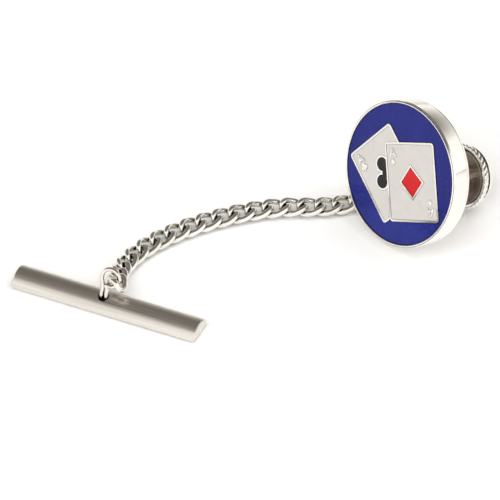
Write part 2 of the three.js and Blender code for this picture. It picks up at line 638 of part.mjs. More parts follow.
// Stands the object with the middle of its footprint on the origin.
function centred(object) {
  const box = new THREE.Box3().setFromObject(object, true);
  const middle = box.getCenter(new THREE.Vector3());
  object.position.set(-middle.x, -middle.y, -box.min.z);
  return object;
}

const tack = new THREE.Group();
tack.add(centred(tieTack()));
export default tack;
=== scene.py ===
"""Looks of the tie tack: finely modelled pieces with procedural materials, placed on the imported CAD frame.

Shapes are worked out in millimetres in the place of each part: the head, the clutch, the chain and the bar.
"""

import json
import math

import bmesh
import bpy
from mathutils import Matrix, Vector


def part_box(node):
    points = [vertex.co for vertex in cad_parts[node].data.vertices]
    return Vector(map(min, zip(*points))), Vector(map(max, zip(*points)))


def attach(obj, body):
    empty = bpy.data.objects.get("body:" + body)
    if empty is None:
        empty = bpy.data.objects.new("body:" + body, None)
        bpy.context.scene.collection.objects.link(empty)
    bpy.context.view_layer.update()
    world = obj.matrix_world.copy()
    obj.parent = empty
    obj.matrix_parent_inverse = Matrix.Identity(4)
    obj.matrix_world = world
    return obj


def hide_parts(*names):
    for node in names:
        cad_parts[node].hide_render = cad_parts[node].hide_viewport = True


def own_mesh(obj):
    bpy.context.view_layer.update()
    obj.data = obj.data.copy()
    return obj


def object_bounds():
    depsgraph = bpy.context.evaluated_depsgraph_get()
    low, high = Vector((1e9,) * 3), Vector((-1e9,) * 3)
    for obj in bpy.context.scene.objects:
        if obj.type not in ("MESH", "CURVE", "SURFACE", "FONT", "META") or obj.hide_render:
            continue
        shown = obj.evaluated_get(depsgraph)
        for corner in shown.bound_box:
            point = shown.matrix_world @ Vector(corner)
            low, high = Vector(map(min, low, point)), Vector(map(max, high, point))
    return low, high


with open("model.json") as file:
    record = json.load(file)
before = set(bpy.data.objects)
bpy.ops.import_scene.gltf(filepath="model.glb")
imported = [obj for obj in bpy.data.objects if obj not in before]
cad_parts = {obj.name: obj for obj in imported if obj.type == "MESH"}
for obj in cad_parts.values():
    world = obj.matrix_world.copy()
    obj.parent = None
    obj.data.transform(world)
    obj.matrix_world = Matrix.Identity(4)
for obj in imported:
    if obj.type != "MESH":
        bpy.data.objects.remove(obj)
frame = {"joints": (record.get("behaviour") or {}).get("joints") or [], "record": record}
cad_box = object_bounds()

MM = 0.001
ROUND = 2 * math.pi
JOINTS = {joint["name"]: joint for joint in frame["joints"]}
MOUNTS = {mount["name"]: mount for mount in frame["record"]["mounts"]}

# Head
HEAD_RADIUS = 7.98
ENAMEL_RADIUS = 7.68
WALL_DEPTH = 2.2
BACK_FRONT = 2.23  # front of the back plate
BACK_FACE = 2.83
LINE_TOP = 0.06
CELL_FLOOR = 0.51
LINE_HALF = 0.1
CARD = (6.9, 8.35, 0.35)
FRONT_CARD = Matrix.Translation((1.72, -0.84, 0))
REAR_CARD = Matrix.Translation((-1.84, 0.06, 0)) @ Matrix.Rotation(math.radians(30.2), 4, "Z")
DIAMOND = (1.65, 1.78)
CLUB = ((0, 1.14, 0.85), (-1.09, -0.41, 0.85), (1.09, -0.41, 0.85), (0, 0.05, 0.7))  # lobes and middle
CARD_STEPS = 6
ENAMEL_GAP = 0.02
BLUE_GAP = 0.045
BLUE_DIP = 0.09  # the blue lies deeper in its cell than the rest
MARK_COLUMN = 2.47  # rank and suit marks, from the middle of their card
RANK_ROW = 3.16
SUIT_ROW = 2.15
MARK_HEIGHT = -0.072
SUIT_BOTTOM = -0.12
SUIT_TOP = -0.03
SMALL_DIAMOND = (0.33, 0.36)
SMALL_LOBES = ((0, 0.24), (-0.24, -0.08), (0.24, -0.08))
SMALL_LOBE_RADIUS = 0.21
STROKE_RADIUS = 0.095
STROKE_FLATNESS = 0.6

# Post and clutch, by depth behind the head's front plane
POST_DROP = 1.5
CLUTCH_PIVOT_DEPTH = 10.4
BALL_DEPTH = 10.65
BALL_OUT = 0.92
BALL_RADIUS = 0.4
BALL_SEAT = 0.42  # half the room between cage or cone and the middle of a ball
CONE_ANGLE = math.radians(15)
LUG_REACH = 4.35
LUG_RADIUS = 0.75
COLLAR_MIDDLE = 10.405
COLLAR_RING_RADIUS = 0.945
COLLAR_RING_WIRE = 0.192
COLLAR_RING_SWING = math.radians(70)
COLLAR_RADIUS = 3.2
COLLAR_BORE = 2.46
COLLAR_STEPS = 480
KNURLS = 18
KNURL_DEPTH = 0.13
KNURL_ROOT = 3.3
SPRING_SPAN = (11.15, 11.75)  # front and back of the coil
SPRING_RADIUS = 1.12
SPRING_WIRE = 0.078
SPRING_TURNS = 2.75
SPRING_ROOM = 0.08  # from either end of the span to the middle of the wire

# Chain
LINKS = 23
LINK_WIRE = 0.31
LINK_HALF_LENGTH = 1.34
LINK_HALF_WIDTH = 0.84
LINK_POWER = 0.75
LINK_TWIST = math.radians(-56)
LINK_LEAN = math.radians(-12)
FIRST_LINK_LEAN = math.radians(5)
LEAN_LINKS = 5

# Bar
BAR_LENGTH = 21.47
BAR_HALF_WIDTH = 1.63
BAR_HEIGHT = 1.5
BAR_ROUNDING = 0.25
BAR_HOLE = Vector((-0.45, -0.3, 0))
BAR_MARK = Vector((5, 0.4))  # the mount under the bar, from the bar's middle
BAR_HOLE_RADIUS = 0.6
EYE_WIRE = 0.228
EYE_LEG = 0.27
EYE_LOOP_RADIUS = 0.98
EYE_LOOP_ASIDE = 0.42
EYE_LOOP_HEIGHT = 2.1
EYE_LEAN = math.radians(25)
EYE_LOOP_START = math.radians(190)
EYE_LOOP_TURN = math.radians(-300)
EYE_LOOP_STEPS = 8
EYE_FOOT = 0.3

FLOOR_DROP = 0.0002  # metres between the paper and the lowest metal


# ---- places ----

def millimetres(point):
    return Vector(point) / MM


def place_of(x_axis, y_axis, z_axis, origin):
    """The place, in metres, with these axes and this origin in millimetres."""
    turn = Matrix((x_axis, y_axis, z_axis)).transposed().to_4x4()
    return Matrix.Translation(Vector(origin) * MM) @ turn


BACK = Vector(JOINTS["clutch_pull"]["axis"]).normalized()
post_point = millimetres(JOINTS["clutch_spin"]["pos_m"])
back_point = millimetres(MOUNTS["head_back"]["pos_m"])
UP = (back_point - post_point - BACK * (BACK_FACE - CLUTCH_PIVOT_DEPTH)).normalized()
SIDE = UP.cross(-BACK)
post_origin = post_point - BACK * CLUTCH_PIVOT_DEPTH
HEAD = place_of(SIDE, UP, -BACK, post_origin + UP * POST_DROP)
CLUTCH = place_of(SIDE, -UP, BACK, post_origin)

bar_low, bar_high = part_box("t_bar")
bar_middle = millimetres((bar_low + bar_high) / 2)
bar_mark = millimetres(MOUNTS["bar_underside"]["pos_m"]) - bar_middle
bar_yaw = math.atan2(bar_mark.y, bar_mark.x) - math.atan2(BAR_MARK.y, BAR_MARK.x)
BAR = Matrix.Translation(Vector((bar_middle.x, bar_middle.y, 0)) * MM) @ Matrix.Rotation(bar_yaw, 4, "Z")


# ---- shapes ----

def mesh_from(points, faces):
    """A closed mesh facing outwards, with points that coincide joined."""
    mesh = bpy.data.meshes.new("shape")
    mesh.from_pydata([tuple(point) for point in points], [], faces)
    form = bmesh.new()
    form.from_mesh(mesh)
    bmesh.ops.remove_doubles(form, verts=form.verts, dist=1e-5)
    bmesh.ops.recalc_face_normals(form, faces=form.faces)
    form.to_mesh(mesh)
    form.free()
    return mesh


def skin(rings, closed=False):
    """A surface through rings of equally many points, capped unless it closes on itself."""
    count = len(rings[0])
    points = [point for ring in rings for point in ring]
    faces = []
    for i in range(len(rings) if closed else len(rings) - 1):
        low, high = i * count, (i + 1) % len(rings) * count
        for j in range(count):
            k = (j + 1) % count
            faces.append((low + j, low + k, high + k, high + j))
    if not closed:
        faces.append(tuple(range(count)))
        faces.append(tuple(range(len(points) - count, len(points))))
    return mesh_from(points, faces)


def filleted(corners, steps=5):
    """Corners (x, y, rounding) of a closed outline, with each corner rounded."""
    outline = []
    for i, (x, y, rounding) in enumerate(corners):
        here = Vector((x, y))
        if rounding == 0:
            outline.append(here)
            continue
        before = Vector(corners[i - 1][:2]) - here
        after = Vector(corners[(i + 1) % len(corners)][:2]) - here
        reach = rounding / math.tan(before.angle(after) / 2)
        start = here + before.normalized() * min(reach, before.length * 0.49)
        end = here + after.normalized() * min(reach, after.length * 0.49)
        for step in range(steps + 1):
            t = step / steps
            outline.append((1 - t) ** 2 * start + 2 * t * (1 - t) * here + t * t * end)
    return outline


def turned(corners, segments=128, shape=lambda radius, height, angle: radius, steps=5):
    """A turned piece about Z from (radius, height, rounding) corners round its half section."""
    outline = filleted(corners, steps)
    rings = []
    for i in range(segments):
        angle = ROUND * i / segments
        across = Vector((math.cos(angle), math.sin(angle), 0))
        rings.append([across * shape(r, z, angle) + Vector((0, 0, z)) for r, z in outline])
    return skin(rings, closed=True)


def prism(outline, bottom, top):
    return skin([[Vector((x, y, z)) for x, y in outline] for z in (bottom, top)])


def disc(radius, count=48, x=0, y=0):
    return [
        (x + radius * math.cos(ROUND * i / count), y + radius * math.sin(ROUND * i / count))
        for i in range(count)]


def tube(path, radius, sides=14, closed=False, leans=None):
    """Round wire along a path. `leans` gives a direction across it at each point, or it is carried along."""
    rings = []
    lean = Vector((0.3, 0.5, 0.8))
    for i, point in enumerate(path):
        after = path[(i + 1) % len(path)] if closed or i + 1 < len(path) else point
        before = path[i - 1] if closed or i else point
        tangent = (after - before).normalized()
        lean = leans[i] if leans else lean
        lean = (lean - tangent * lean.dot(tangent)).normalized()
        other = tangent.cross(lean)
        turns = [ROUND * j / sides for j in range(sides)]
        rings.append([point + radius * (lean * math.cos(turn) + other * math.sin(turn)) for turn in turns])
    return skin(rings, closed)


def moved(mesh, place):
    mesh.transform(place)
    return mesh


def modified(mesh, set_up):
    """The mesh after the modifiers that set_up(object) adds."""
    obj = bpy.data.objects.new("work", mesh)
    bpy.context.collection.objects.link(obj)
    set_up(obj)
    made = bpy.data.meshes.new_from_object(obj.evaluated_get(bpy.context.evaluated_depsgraph_get()))
    bpy.data.objects.remove(obj)
    return made


def combined(mesh, operation, *tools):
    """The mesh joined with, cut by or kept inside each of the tools."""
    for tool in tools:
        other = bpy.data.objects.new("tool", tool)
        bpy.context.collection.objects.link(other)

        def boolean(obj):
            change = obj.modifiers.new("change", "BOOLEAN")
            change.operation, change.solver, change.object = operation, "EXACT", other

        mesh = modified(mesh, boolean)
        bpy.data.objects.remove(other)
    return mesh


def softened(mesh, width, segments=3, angle=35):
    """The mesh with its sharp edges rounded."""
    def bevel(obj):
        change = obj.modifiers.new("change", "BEVEL")
        change.width, change.segments = width, segments
        change.limit_method, change.angle_limit = "ANGLE", math.radians(angle)
        change.use_clamp_overlap = True
    return modified(mesh, bevel)


def largest_piece(mesh):
    """Only the largest of a mesh's separate pieces."""
    form = bmesh.new()
    form.from_mesh(mesh)
    left = set(form.verts)
    pieces = []
    while left:
        piece, edge = set(), {left.pop()}
        while edge:
            piece |= edge
            edge = {e.other_vert(v) for v in edge for e in v.link_edges} - piece
        left -= piece
        pieces.append(piece)
    size = lambda piece: sum(face.calc_area() for face in {f for v in piece for f in v.link_faces})
    keep = max(pieces, key=size)
    bmesh.ops.delete(form, geom=[v for v in form.verts if v not in keep], context="VERTS")
    made = bpy.data.meshes.new("shape")
    form.to_mesh(made)
    form.free()
    return made


# ---- materials ----

class Nodes:
    """Builds a material's node tree."""

    def __init__(self, name, **constants):
        self.material = bpy.data.materials.new(name)
        self.material.use_nodes = True
        self.tree = self.material.node_tree
        self.shader = self.tree.nodes["Principled BSDF"]
        for socket, value in constants.items():
            self.shader.inputs[socket.replace("_", " ")].default_value = value
        self.place = self.tree.nodes.new("ShaderNodeTexCoord").outputs["Object"]

    def link(self, source, target):
        self.tree.links.new(source, target)

    def add(self, kind, **settings):
        node = self.tree.nodes.new(kind)
        for name, value in settings.items():
            if name in node.inputs:
                node.inputs[name].default_value = value
            else:
                setattr(node, name, value)
        return node

    def stretched(self, size, turn=0):
        """Places for a pattern whose unit is this size in metres, turned about Z."""
        node = self.add("ShaderNodeMapping", vector_type="TEXTURE", Scale=size, Rotation=(0, 0, turn))
        self.link(self.place, node.inputs["Vector"])
        return node.outputs["Vector"]

    def with_painted_shade(self, open_colours, reach, start, end, shade_colour):
        """The colours, darkened towards a given shade colour where something stands closer than `reach`:
        painted shade in recesses and near other surfaces.
        """
        shade = self.add("ShaderNodeAmbientOcclusion", samples=8, Distance=reach)
        mix = self.add("ShaderNodeMix", data_type="RGBA")
        self.link(self.spread(shade.outputs["AO"], 0, 1, start, end), mix.inputs[0])
        mix.inputs[6].default_value = (*shade_colour, 1)
        self.link(open_colours, mix.inputs[7])
        return mix.outputs[2]

    def noise(self, scale, detail=4, place=None, roughness=0.55):
        node = self.add("ShaderNodeTexNoise", Scale=scale, Detail=detail, Roughness=roughness)
        self.link(place or self.place, node.inputs["Vector"])
        return node.outputs["Fac"]

    def spread(self, factor, low, high, start=0.35, end=0.65):
        node = self.add("ShaderNodeMapRange")
        for socket, value in (("From Min", start), ("From Max", end), ("To Min", low), ("To Max", high)):
            node.inputs[socket].default_value = value
        self.link(factor, node.inputs["Value"])
        return node.outputs["Result"]

    def colours(self, factor, *stops):
        node = self.add("ShaderNodeValToRGB")
        ramp = node.color_ramp
        while len(ramp.elements) < len(stops):
            ramp.elements.new(0.5)
        for element, (position, colour) in zip(ramp.elements, stops):
            element.position = position
            element.color = (*colour, 1)
        self.link(factor, node.inputs["Fac"])
        return node.outputs["Color"]

    def bump(self, height, distance, strength=1, under=None):
        node = self.add("ShaderNodeBump", Strength=strength, Distance=distance)
        self.link(height, node.inputs["Height"])
        if under:
            self.link(under, node.inputs["Normal"])
        return node.outputs["Normal"]

    def to(self, socket, source):
        self.link(source, self.shader.inputs[socket])


def polished(name, light, dark, rough_low, rough_high, scratch, reach=2e-4):
    """Plated metal: smudges vary its gloss, wiping marks lie under them, and painted shade darkens its
    recesses and the places near other surfaces.
    """
    made = Nodes(name, Metallic=1.0)
    smudges = made.noise(420, 5)
    plate = made.colours(made.noise(160, 3), (0.35, dark), (0.62, light))
    # Painted shade: the base colour turns dark brown wherever another surface stands within `reach`.
    made.to("Base Color", made.with_painted_shade(plate, reach, 0.25, 0.8, (0.07, 0.062, 0.05)))
    made.to("Roughness", made.spread(smudges, rough_low, rough_high))
    wiped = made.noise(1.0, 3, made.stretched((1 / 525, 1 / 3300, 1 / 1500)))
    pits = made.noise(5200, 2)
    fine = made.bump(pits, 4e-7, 0.5)
    made.to("Normal", made.bump(wiped, scratch, 0.6, fine))
    return made.material


def satin(name):
    """Metal brushed along X."""
    made = Nodes(name, Metallic=1.0)
    lines = made.noise(1.0, 4, made.stretched((1 / 260, 1 / 11000, 1 / 11000), bar_yaw), 0.7)
    broad = made.noise(1.0, 2, made.stretched((1 / 60, 1 / 2600, 1 / 2600), bar_yaw))
    made.to("Base Color", made.colours(
        broad, (0.3, (0.68, 0.645, 0.595)), (0.5, (0.75, 0.715, 0.665)), (0.7, (0.82, 0.79, 0.745))))
    made.to("Roughness", made.spread(lines, 0.3, 0.48))
    made.to("Normal", made.bump(lines, 1.6e-6, 0.8, made.bump(made.noise(300, 3), 3e-6, 0.4)))
    return made.material


def enamel(name, deep, mid, light, scale, speckle, gloss):
    """Fired enamel under a clear polished skin: slight clouds of colour and faint specks below it, and
    painted shade darkening it near the raised lines round its cell.
    """
    made = Nodes(name, Coat_Weight=0.2, Coat_Roughness=0.03, Specular_IOR_Level=0.15)
    clouds = made.colours(made.noise(scale, 4), (0.3, deep), (0.5, mid), (0.7, light))
    mix = made.add("ShaderNodeMix", data_type="RGBA", blend_type="MULTIPLY")
    mix.inputs[0].default_value = speckle
    made.link(clouds, mix.inputs[6])
    specks = made.colours(made.noise(7000, 2), (0.35, (0.55, 0.55, 0.55)), (0.55, (1, 1, 1)))
    made.link(specks, mix.inputs[7])
    # Painted shade: a quarter of the deep colour, laid where the raised lines stand close to the enamel.
    edge = [part * 0.25 for part in deep]
    made.to("Base Color", made.with_painted_shade(mix.outputs[2], 2.5e-4, 0.6, 0.97, edge))
    made.to("Roughness", made.spread(made.noise(900, 3), gloss * 0.7, gloss * 1.3))
    made.to("Normal", made.bump(made.noise(330, 2), 1.2e-5, 0.35))
    return made.material


MARK = polished("raised_marks", (0.97, 0.965, 0.95), (0.93, 0.92, 0.9), 0.3, 0.45, 1e-6, 2e-5)
MIRROR = polished("polished_plate", (0.93, 0.91, 0.87), (0.86, 0.84, 0.8), 0.06, 0.14, 1.5e-6)
LINK = polished("link_wire", (0.93, 0.915, 0.87), (0.8, 0.78, 0.725), 0.08, 0.2, 3e-6, 6e-4)
EYE = polished("eye_wire", (0.93, 0.88, 0.83), (0.8, 0.74, 0.69), 0.08, 0.18, 2e-6, 6e-4)
FACING = polished("dark_plate", (0.3, 0.25, 0.215), (0.16, 0.125, 0.105), 0.08, 0.18, 2e-6)
INNER = polished("clutch_works", (0.7, 0.69, 0.67), (0.56, 0.55, 0.53), 0.2, 0.34, 2e-6)
SPRING = polished("spring_wire", (0.55, 0.55, 0.55), (0.4, 0.4, 0.41), 0.25, 0.4, 2e-6)
SATIN = satin("satin_bar")
BLUE = enamel(
    "blue_enamel", (0.007, 0.011, 0.15), (0.009, 0.015, 0.18), (0.013, 0.021, 0.22), 130, 0.12, 0.25)
PEARL = enamel(
    "pearl_enamel", (0.555, 0.535, 0.51), (0.575, 0.555, 0.53), (0.595, 0.58, 0.56), 420, 0.06, 0.3)
RED = enamel(
    "red_enamel", (0.5, 0.007, 0.01), (0.55, 0.009, 0.012), (0.6, 0.014, 0.018), 500, 0.15, 0.25)
BLACK = enamel(
    "black_enamel", (0.01, 0.01, 0.012), (0.015, 0.015, 0.018), (0.022, 0.022, 0.026), 500, 0.2, 0.3)


def piece(name, mesh, place, body, material, slot, *nodes):
    """Shows a mesh made in millimetres at its place, riding on a body and standing for CAD nodes."""
    mesh.transform(place @ Matrix.Scale(MM, 4))
    mesh.name = name
    mesh.materials.clear()
    mesh.materials.append(material)
    mesh.shade_smooth()
    mesh.set_sharp_from_angle(angle=math.radians(38))
    obj = bpy.data.objects.new(name, mesh)
    bpy.context.collection.objects.link(obj)
    even = obj.modifiers.new("even_shading", "WEIGHTED_NORMAL")
    even.keep_sharp = True
    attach(obj, body)
    if nodes:
        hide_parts(*nodes)
    return obj


# ---- head ----

def card_outline(grow):
    x, y, rounding = CARD[0] / 2 + grow, CARD[1] / 2 + grow, CARD[2] + grow
    return filleted([(x, y, rounding), (-x, y, rounding), (-x, -y, rounding), (x, -y, rounding)], CARD_STEPS)


def card_block(card, grow, bottom, top):
    return moved(prism(card_outline(grow), bottom, top), card)


def diamond_block(grow, bottom, top, size=DIAMOND, place=FRONT_CARD):
    slant = math.hypot(*size)
    x, y = size[0] + grow * slant / size[1], size[1] + grow * slant / size[0]
    return moved(prism([(x, 0), (0, y), (-x, 0), (0, -y)], bottom, top), place)


def club_block(grow, bottom, top):
    stem = [
        (-0.2 - grow, 0), (-0.55 - grow, -1.75 - grow), (0.55 + grow, -1.75 - grow), (0.2 + grow, 0)]
    lobes = [prism(disc(radius + grow, 48, x, y), bottom, top) for x, y, radius in CLUB]
    return moved(combined(prism(stem, bottom, top), "UNION", *lobes), REAR_CARD)


def cells(gap, bottom, top):
    """The five enamel cells, each kept `gap` away from the raised lines round it."""
    inset = LINE_HALF + gap
    low, high = bottom - 1, top + 1
    over = lambda block, *more: block(*more, inset, low, high)
    front = card_block(FRONT_CARD, -inset, bottom, top)
    rear = card_block(REAR_CARD, -inset, bottom, top)
    ground = prism(disc(ENAMEL_RADIUS - gap, 192), bottom, top)
    return {
        "blue_enamel": combined(
            ground, "DIFFERENCE", over(card_block, FRONT_CARD), over(card_block, REAR_CARD)),
        "front_card_enamel": combined(front, "DIFFERENCE", over(diamond_block)),
        "rear_card_enamel": largest_piece(combined(
            rear, "DIFFERENCE", over(card_block, FRONT_CARD), over(club_block))),
        "diamond_enamel": diamond_block(-inset, bottom, top),
        "club_enamel": combined(
            club_block(-inset, bottom, top), "DIFFERENCE", over(card_block, FRONT_CARD)),
    }


def head_shell():
    shell = turned([
        (0, -1.3, 0), (6.8, -1.3, 0.1), (6.8, -WALL_DEPTH, 0.05), (7.94, -WALL_DEPTH, 0.05),
        (HEAD_RADIUS, -2.12, 0.05), (HEAD_RADIUS, -0.3, 0.12), (7.93, -0.12, 0.04), (7.91, -0.08, 0.02),
        (7.89, -0.13, 0.01), (7.87, -0.13, 0.01), (7.85, -0.03, 0.02), (7.82, 0, 0.02), (7.73, 0, 0.02),
        (ENAMEL_RADIUS, -LINE_TOP, 0), (0, -LINE_TOP, 0),
    ], 192, steps=4)
    shell = combined(shell, "DIFFERENCE", *cells(0, -CELL_FLOOR, 0.5).values())
    piece("head_shell", softened(shell, 0.035, 2), HEAD, "head", MIRROR, "polished", "head_shell")


def enamels():
    finish = {
        "blue_enamel": (BLUE, "blue"),
        "front_card_enamel": (PEARL, "pearl"),
        "rear_card_enamel": (PEARL, "pearl"),
        "diamond_enamel": (RED, "red"),
        "club_enamel": (BLACK, "black"),
    }
    bottom = -CELL_FLOOR + ENAMEL_GAP
    shapes = cells(ENAMEL_GAP, bottom, -LINE_TOP - ENAMEL_GAP)
    shapes["blue_enamel"] = cells(BLUE_GAP, bottom, -LINE_TOP - BLUE_DIP)["blue_enamel"]
    for name, (material, slot) in finish.items():
        piece(name, softened(shapes[name], 0.03, 2), HEAD, "head", material, slot, name)


def stroke(points):
    """A raised line, wider than it is high."""
    line = tube([Vector((x, y, 0)) for x, y in points], STROKE_RADIUS, 12)
    return moved(line, Matrix.Diagonal((1, 1, STROKE_FLATNESS, 1)))


def rank_mark(place):
    """The ace's raised rank letter in a card's corner."""
    legs = stroke([(-0.42, -0.45), (-0.22, 0), (0, 0.46), (0.22, 0), (0.42, -0.45)])
    bar = stroke([(-0.28, -0.15), (0, -0.15), (0.28, -0.15)])
    return moved(combined(legs, "UNION", bar), place)


def small_club(place):
    lobes = [prism(disc(SMALL_LOBE_RADIUS, 24, x, y), SUIT_BOTTOM, SUIT_TOP) for x, y in SMALL_LOBES]
    outline = [(-0.06, 0.1), (-0.15, -0.42), (0.15, -0.42), (0.06, 0.1)]
    return moved(combined(prism(outline, SUIT_BOTTOM, SUIT_TOP), "UNION", *lobes), place)


def marks():
    """Small raised ranks and suits in the cards' corners."""
    around = Matrix.Rotation(math.pi, 4, "Z")
    shapes = []
    for corner in (FRONT_CARD, FRONT_CARD @ around, REAR_CARD):
        shapes.append(rank_mark(corner @ Matrix.Translation((-MARK_COLUMN, RANK_ROW, MARK_HEIGHT))))
        suit = corner @ Matrix.Translation((-MARK_COLUMN, SUIT_ROW, 0))
        if corner is REAR_CARD:
            shapes.append(small_club(suit))
        else:
            shapes.append(diamond_block(0, SUIT_BOTTOM, SUIT_TOP, SMALL_DIAMOND, suit))
    for i, shape in enumerate(shapes):
        piece(f"card_mark_{i + 1}", softened(shape, 0.03, 3), HEAD, "head", MARK, "polished")


def back_plate():
    shape = turned([
        (0, -BACK_FACE, 0), (7.3, -BACK_FACE, 0.3), (7.75, -2.66, 0.3), (7.92, -2.42, 0.12),
        (7.92, -BACK_FRONT, 0.03), (0, -BACK_FRONT, 0),
    ], 192)
    piece("back_plate", shape, HEAD, "head", MIRROR, "polished", "back_plate")


def post():
    pad = BACK_FACE + 0.03
    shape = turned([
        (0, pad, 0), (1.4, pad, 0.03), (1.4, pad + 0.22, 0.08), (0.8, pad + 0.3, 0.15),
        (0.5, pad + 0.62, 0.2), (0.5, 10.9, 0.3), (0.46, 11.13, 0.03), (0.31, 11.26, 0.03),
        (0.31, 11.34, 0.03), (0.385, 11.45, 0.03), (0, 12.0, 0),
    ], 64)
    piece("post", shape, CLUTCH, "head", MIRROR, "polished", "post")


# ---- clutch ----

def cone_radius(depth):
    return BALL_OUT + BALL_SEAT / math.cos(CONE_ANGLE) + (depth - BALL_DEPTH) * math.tan(CONE_ANGLE)


def knurled(radius, height, angle):
    """Rounded, slanting flutes round the rim's edge."""
    if radius < KNURL_ROOT:
        return radius
    share = min(1, (radius - KNURL_ROOT) / 0.2)
    slant = 0.25 * (height - 9.6)
    return radius - share * KNURL_DEPTH * (1 - abs(math.cos(KNURLS * (angle + slant)))) ** 0.8


def clutch_pieces():
    plate = turned([
        (0.6, 9.6, 0.05), (2.86, 9.6, 0.04), (3.03, 9.68, 0.05), (3.03, 9.95, 0.03), (0.6, 9.95, 0.03)])
    piece("clutch_plate", plate, CLUTCH, "clutch", FACING, "polished", "clutch_plate")
    body = turned([
        (0.6, 9.98, 0.03), (3.15, 9.98, 0), (3.15, 9.66, 0.03), (3.28, 9.63, 0.03), (3.55, 9.63, 0.08),
        (3.64, 9.74, 0.05), (3.64, 9.85, 0), (3.64, 9.97, 0), (3.64, 10.08, 0.05), (3.52, 10.2, 0.06),
        (2.4, 10.2, 0.05), (2.4, 10.6, 0.02), (2.65, 10.6, 0.04), (2.65, 10.72, 0.04), (1.68, 10.72, 0.03),
        (1.68, 11.92, 0.04), (1.48, 11.92, 0.04), (1.48, 11.2, 0), (cone_radius(11.2), 11.2, 0.02),
        (cone_radius(10.2), 10.2, 0.02), (0.6, 10.2, 0.03),
    ], 432, knurled, 3)
    piece("clutch_body", body, CLUTCH, "clutch", MIRROR, "polished", "clutch_body")
    seat = turned([(0.9, 11.78, 0.02), (1.45, 11.78, 0.02), (1.45, 11.9, 0.02), (0.9, 11.9, 0.02)], 64)
    piece("spring_seat", seat, CLUTCH, "clutch", INNER, "polished", "spring_seat")
    release_spring()


def release_spring():
    """The coil behind the ball cage."""
    front, back = SPRING_SPAN
    first, last = front + SPRING_ROOM, back - SPRING_ROOM
    coil = []
    for i in range(133):
        share = i / 132
        angle = ROUND * SPRING_TURNS * share
        depth = first + (last - first) * share
        coil.append(Vector((SPRING_RADIUS * math.cos(angle), SPRING_RADIUS * math.sin(angle), depth)))
    wire = tube(coil, SPRING_WIRE, 10)
    spring = piece("release_spring", wire, CLUTCH, "clutch", SPRING, "spring_steel", "release_spring")
    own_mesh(spring)


def cap_pieces():
    outside = [(3.25, 10.76, 0.02), (3.27, 10.8, 0.02)]
    inside = []
    for i in range(1, 17):
        angle = math.pi / 2 * i / 16
        outside.append((3.27 * math.cos(angle), 10.8 + 1.64 * math.sin(angle), 0))
    for i in range(15, 0, -1):
        angle = math.pi / 2 * i / 16
        inside.append((3.05 * math.cos(angle), 10.8 + 1.4 * math.sin(angle), 0))
    outside[-1] = (0, 12.44, 0)
    boss = [(0, 12.2, 0), (0.83, 12.2, 0), (0.83, 11.97, 0.03), (1.2, 11.97, 0.03), (1.2, 12.09, 0)]
    inside = [point for point in inside if point[0] > 1.2]
    cap = turned(outside + boss + inside + [(3.05, 10.76, 0.03)], 144)
    piece("clutch_cap", cap, CLUTCH, "cap", MIRROR, "polished", "clutch_cap")
    cage = turned([
        (0.58, 10.26, 0.03), (1.0, 10.26, 0.03), (1.0, 11.02, 0.03), (1.32, 11.02, 0.02),
        (1.32, 11.12, 0.02), (0.8, 11.12, 0.02), (0.8, 12.12, 0.03), (0.58, 12.12, 0.03)], 96)
    pockets = []
    for i in range(3):
        pocket = prism(disc(BALL_SEAT, 32), 0.3, 1.7)
        turn = Matrix.Rotation(ROUND * i / 3, 4, "Z") @ Matrix.Translation((0, 0, BALL_DEPTH))
        pockets.append(moved(pocket, turn @ Matrix.Rotation(math.pi / 2, 4, "Y")))
    cage = softened(combined(cage, "DIFFERENCE", *pockets), 0.015, 2)
    piece("ball_cage", cage, CLUTCH, "cap", INNER, "polished", "ball_cage")
    for i in range(3):
        angle = ROUND * i / 3
        half = []
        for step in range(17):
            up = math.pi * step / 16
            half.append((BALL_RADIUS * math.sin(up), -BALL_RADIUS * math.cos(up), 0))
        ball = moved(turned(half, 32), Matrix.Translation(
            (BALL_OUT * math.cos(angle), BALL_OUT * math.sin(angle), BALL_DEPTH)))
        piece(f"ball_{i + 1}", ball, CLUTCH, f"ball_{i + 1}", INNER, "polished", f"ball_{i + 1}")


def collar_reach(angle):
    """The collar's outline: a washer with a round-ended lug towards -X."""
    off = abs((angle % ROUND) - math.pi)
    reach = COLLAR_RADIUS
    if off < 0.6:
        end = LUG_REACH * math.cos(off)
        inner = LUG_RADIUS ** 2 - (LUG_REACH * math.sin(off)) ** 2
        beside = LUG_RADIUS / max(math.sin(off), 1e-6)
        lug = end + math.sqrt(inner) if inner > 0 and beside * math.cos(off) > LUG_REACH else beside
        reach = max(reach, lug)
    return reach


def swivel_collar():
    outline = [collar_reach(ROUND * i / COLLAR_STEPS) for i in range(COLLAR_STEPS)]
    for _ in range(2):
        outline = [
            (outline[i - 1] + 2 * outline[i] + outline[(i + 1) % COLLAR_STEPS]) / 4
            for i in range(COLLAR_STEPS)]

    def reach(radius, height, angle):
        if radius < 3:
            return radius
        return outline[round(angle / ROUND * COLLAR_STEPS) % COLLAR_STEPS] - (COLLAR_RADIUS - radius)

    washer = turned([
        (COLLAR_BORE, 10.28, 0.03), (COLLAR_RADIUS, 10.28, 0.05), (COLLAR_RADIUS, 10.53, 0.05),
        (COLLAR_BORE, 10.53, 0.03)], COLLAR_STEPS, reach)
    hole = moved(prism(disc(0.4, 48), -1, 1), Matrix.Translation((-LUG_REACH, 0, COLLAR_MIDDLE)))
    collar = softened(combined(washer, "DIFFERENCE", hole), 0.03, 2, 50)
    piece("swivel_collar", collar, CLUTCH, "collar", MIRROR, "polished", "swivel_collar")


